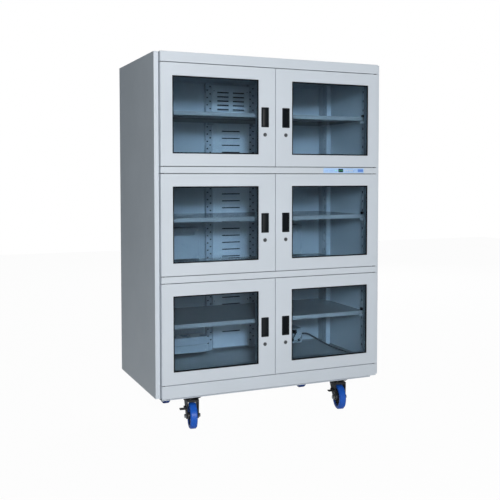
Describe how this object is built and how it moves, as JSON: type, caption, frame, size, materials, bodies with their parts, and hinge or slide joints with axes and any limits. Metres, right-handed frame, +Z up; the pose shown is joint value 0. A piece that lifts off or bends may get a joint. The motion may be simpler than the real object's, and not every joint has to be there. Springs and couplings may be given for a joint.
{
  "type": "desiccator cabinet",
  "caption": "Tall wheeled dry storage cabinet with glazed hinged doors in stacked pairs, adjustable shelves, a rear air duct and swivelling braked casters.",
  "frame": {"origin": "on the ground below the middle of the cabinet's box", "axes": "+Z up, -Y out of the doors, +X to the right as seen from the front"},
  "size_m": [1.21, 0.672, 1.787],
  "materials": {
    "painted_steel": "fine-textured light grey powder coat",
    "inner_steel": "satin light grey enamel",
    "shelf_steel": "glossy light grey enamel",
    "smoked_glass": "tinted toughened glass",
    "black_rubber": "matt black extrusion",
    "black_plastic": "moulded black",
    "lock_metal": "nickel plated",
    "cable_black": "matt cable jacket",
    "black_steel": "black electrocoat",
    "wheel_blue": "blue elastic tread"
  },
  "bodies": {
    "cabinet": {"side_panel_left": "painted_steel", "side_panel_right": "painted_steel", "roof_panel": "painted_steel", "floor_pan": "painted_steel", "back_panel": "painted_steel", "front_frame": "painted_steel", "base_fascia": "painted_steel", "middle_rail": "painted_steel", "control_rail": "painted_steel", "top_fascia": "painted_steel", "shelf_1": "shelf_steel", "shelf_2": "shelf_steel", "shelf_3": "shelf_steel", "shelf_4": "shelf_steel", "shelf_5": "shelf_steel", "shelf_uprights": "inner_steel", "vent_duct": "inner_steel", "drying_units": "inner_steel", "lead": "cable_black", "caster_plates": "black_steel"},
    "lower_left_door_leaf": {"lower_left_door": "painted_steel", "lower_left_glass": "smoked_glass", "lower_left_bead": "black_rubber", "lower_left_pull": "black_plastic"},
    "lower_left_lock_cam": {"lower_left_lock": "lock_metal"},
    "lower_right_door_leaf": {"lower_right_door": "painted_steel", "lower_right_glass": "smoked_glass", "lower_right_bead": "black_rubber", "lower_right_pull": "black_plastic"},
    "lower_right_lock_cam": {"lower_right_lock": "lock_metal"},
    "middle_left_door_leaf": {"middle_left_door": "painted_steel", "middle_left_glass": "smoked_glass", "middle_left_bead": "black_rubber", "middle_left_pull": "black_plastic"},
    "middle_left_lock_cam": {"middle_left_lock": "lock_metal"},
    "middle_right_door_leaf": {"middle_right_door": "painted_steel", "middle_right_glass": "smoked_glass", "middle_right_bead": "black_rubber", "middle_right_pull": "black_plastic"},
    "middle_right_lock_cam": {"middle_right_lock": "lock_metal"},
    "upper_left_door_leaf": {"upper_left_door": "painted_steel", "upper_left_glass": "smoked_glass", "upper_left_bead": "black_rubber", "upper_left_pull": "black_plastic"},
    "upper_left_lock_cam": {"upper_left_lock": "lock_metal"},
    "upper_right_door_leaf": {"upper_right_door": "painted_steel", "upper_right_glass": "smoked_glass", "upper_right_bead": "black_rubber", "upper_right_pull": "black_plastic"},
    "upper_right_lock_cam": {"upper_right_lock": "lock_metal"},
    "front_left_swivel": {"front_left_fork": "black_steel"},
    "front_left_roller": {"front_left_wheel": "wheel_blue"},
    "front_left_brake": {"front_left_pedal": "black_steel"},
    "front_right_swivel": {"front_right_fork": "black_steel"},
    "front_right_roller": {"front_right_wheel": "wheel_blue"},
    "front_right_brake": {"front_right_pedal": "black_steel"},
    "rear_left_swivel": {"rear_left_fork": "black_steel"},
    "rear_left_roller": {"rear_left_wheel": "wheel_blue"},
    "rear_right_swivel": {"rear_right_fork": "black_steel"},
    "rear_right_roller": {"rear_right_wheel": "wheel_blue"}
  },
  "joints": [
    {"name": "lower_left_door_hinge", "type": "hinge", "parent": "cabinet", "child": "lower_left_door_leaf", "pos_m": [-0.5705, -0.3228, 0.475], "axis": [0, 0, -1], "range_deg": [0, 115]},
    {"name": "lower_left_lock_turn", "type": "hinge", "parent": "lower_left_door_leaf", "child": "lower_left_lock_cam", "pos_m": [-0.0559, -0.3348, 0.391], "axis": [0, -1, 0], "range_deg": [0, 90]},
    {"name": "lower_right_door_hinge", "type": "hinge", "parent": "cabinet", "child": "lower_right_door_leaf", "pos_m": [0.5705, -0.3228, 0.475], "axis": [0, 0, 1], "range_deg": [0, 115]},
    {"name": "lower_right_lock_turn", "type": "hinge", "parent": "lower_right_door_leaf", "child": "lower_right_lock_cam", "pos_m": [0.0559, -0.3348, 0.391], "axis": [0, 1, 0], "range_deg": [0, 90]},
    {"name": "middle_left_door_hinge", "type": "hinge", "parent": "cabinet", "child": "middle_left_door_leaf", "pos_m": [-0.5705, -0.3228, 0.987], "axis": [0, 0, -1], "range_deg": [0, 115]},
    {"name": "middle_left_lock_turn", "type": "hinge", "parent": "middle_left_door_leaf", "child": "middle_left_lock_cam", "pos_m": [-0.0559, -0.3348, 0.903], "axis": [0, -1, 0], "range_deg": [0, 90]},
    {"name": "middle_right_door_hinge", "type": "hinge", "parent": "cabinet", "child": "middle_right_door_leaf", "pos_m": [0.5705, -0.3228, 0.987], "axis": [0, 0, 1], "range_deg": [0, 115]},
    {"name": "middle_right_lock_turn", "type": "hinge", "parent": "middle_right_door_leaf", "child": "middle_right_lock_cam", "pos_m": [0.0559, -0.3348, 0.903], "axis": [0, 1, 0], "range_deg": [0, 90]},
    {"name": "upper_left_door_hinge", "type": "hinge", "parent": "cabinet", "child": "upper_left_door_leaf", "pos_m": [-0.5705, -0.3228, 1.499], "axis": [0, 0, -1], "range_deg": [0, 115]},
    {"name": "upper_left_lock_turn", "type": "hinge", "parent": "upper_left_door_leaf", "child": "upper_left_lock_cam", "pos_m": [-0.0559, -0.3348, 1.415], "axis": [0, -1, 0], "range_deg": [0, 90]},
    {"name": "upper_right_door_hinge", "type": "hinge", "parent": "cabinet", "child": "upper_right_door_leaf", "pos_m": [0.5705, -0.3228, 1.499], "axis": [0, 0, 1], "range_deg": [0, 115]},
    {"name": "upper_right_lock_turn", "type": "hinge", "parent": "upper_right_door_leaf", "child": "upper_right_lock_cam", "pos_m": [0.0559, -0.3348, 1.415], "axis": [0, 1, 0], "range_deg": [0, 90]},
    {"name": "front_left_swivel_turn", "type": "hinge", "parent": "cabinet", "child": "front_left_swivel", "pos_m": [-0.405, -0.234, 0.155], "axis": [0, 0, 1], "continuous": true},
    {"name": "front_left_wheel_roll", "type": "hinge", "parent": "front_left_swivel", "child": "front_left_roller", "pos_m": [-0.4116, -0.27142, 0.0625], "axis": [0.9848, -0.1736, 0], "continuous": true},
    {"name": "front_left_brake_press", "type": "hinge", "parent": "front_left_swivel", "child": "front_left_brake", "pos_m": [-0.43593, -0.23667, 0.098], "axis": [0.9848, -0.1736, 0], "range_deg": [0, 15]},
    {"name": "front_right_swivel_turn", "type": "hinge", "parent": "cabinet", "child": "front_right_swivel", "pos_m": [0.405, -0.234, 0.155], "axis": [0, 0, 1], "continuous": true},
    {"name": "front_right_wheel_roll", "type": "hinge", "parent": "front_right_swivel", "child": "front_right_roller", "pos_m": [0.3984, -0.27142, 0.0625], "axis": [0.9848, -0.1736, 0], "continuous": true},
    {"name": "front_right_brake_press", "type": "hinge", "parent": "front_right_swivel", "child": "front_right_brake", "pos_m": [0.37407, -0.23667, 0.098], "axis": [0.9848, -0.1736, 0], "range_deg": [0, 15]},
    {"name": "rear_left_swivel_turn", "type": "hinge", "parent": "cabinet", "child": "rear_left_swivel", "pos_m": [-0.405, 0.234, 0.155], "axis": [0, 0, 1], "continuous": true},
    {"name": "rear_left_wheel_roll", "type": "hinge", "parent": "rear_left_swivel", "child": "rear_left_roller", "pos_m": [-0.405, 0.196, 0.0625], "axis": [1, 0, 0], "continuous": true},
    {"name": "rear_right_swivel_turn", "type": "hinge", "parent": "cabinet", "child": "rear_right_swivel", "pos_m": [0.405, 0.234, 0.155], "axis": [0, 0, 1], "continuous": true},
    {"name": "rear_right_wheel_roll", "type": "hinge", "parent": "rear_right_swivel", "child": "rear_right_roller", "pos_m": [0.405, 0.196, 0.0625], "axis": [1, 0, 0], "continuous": true}
  ]
}
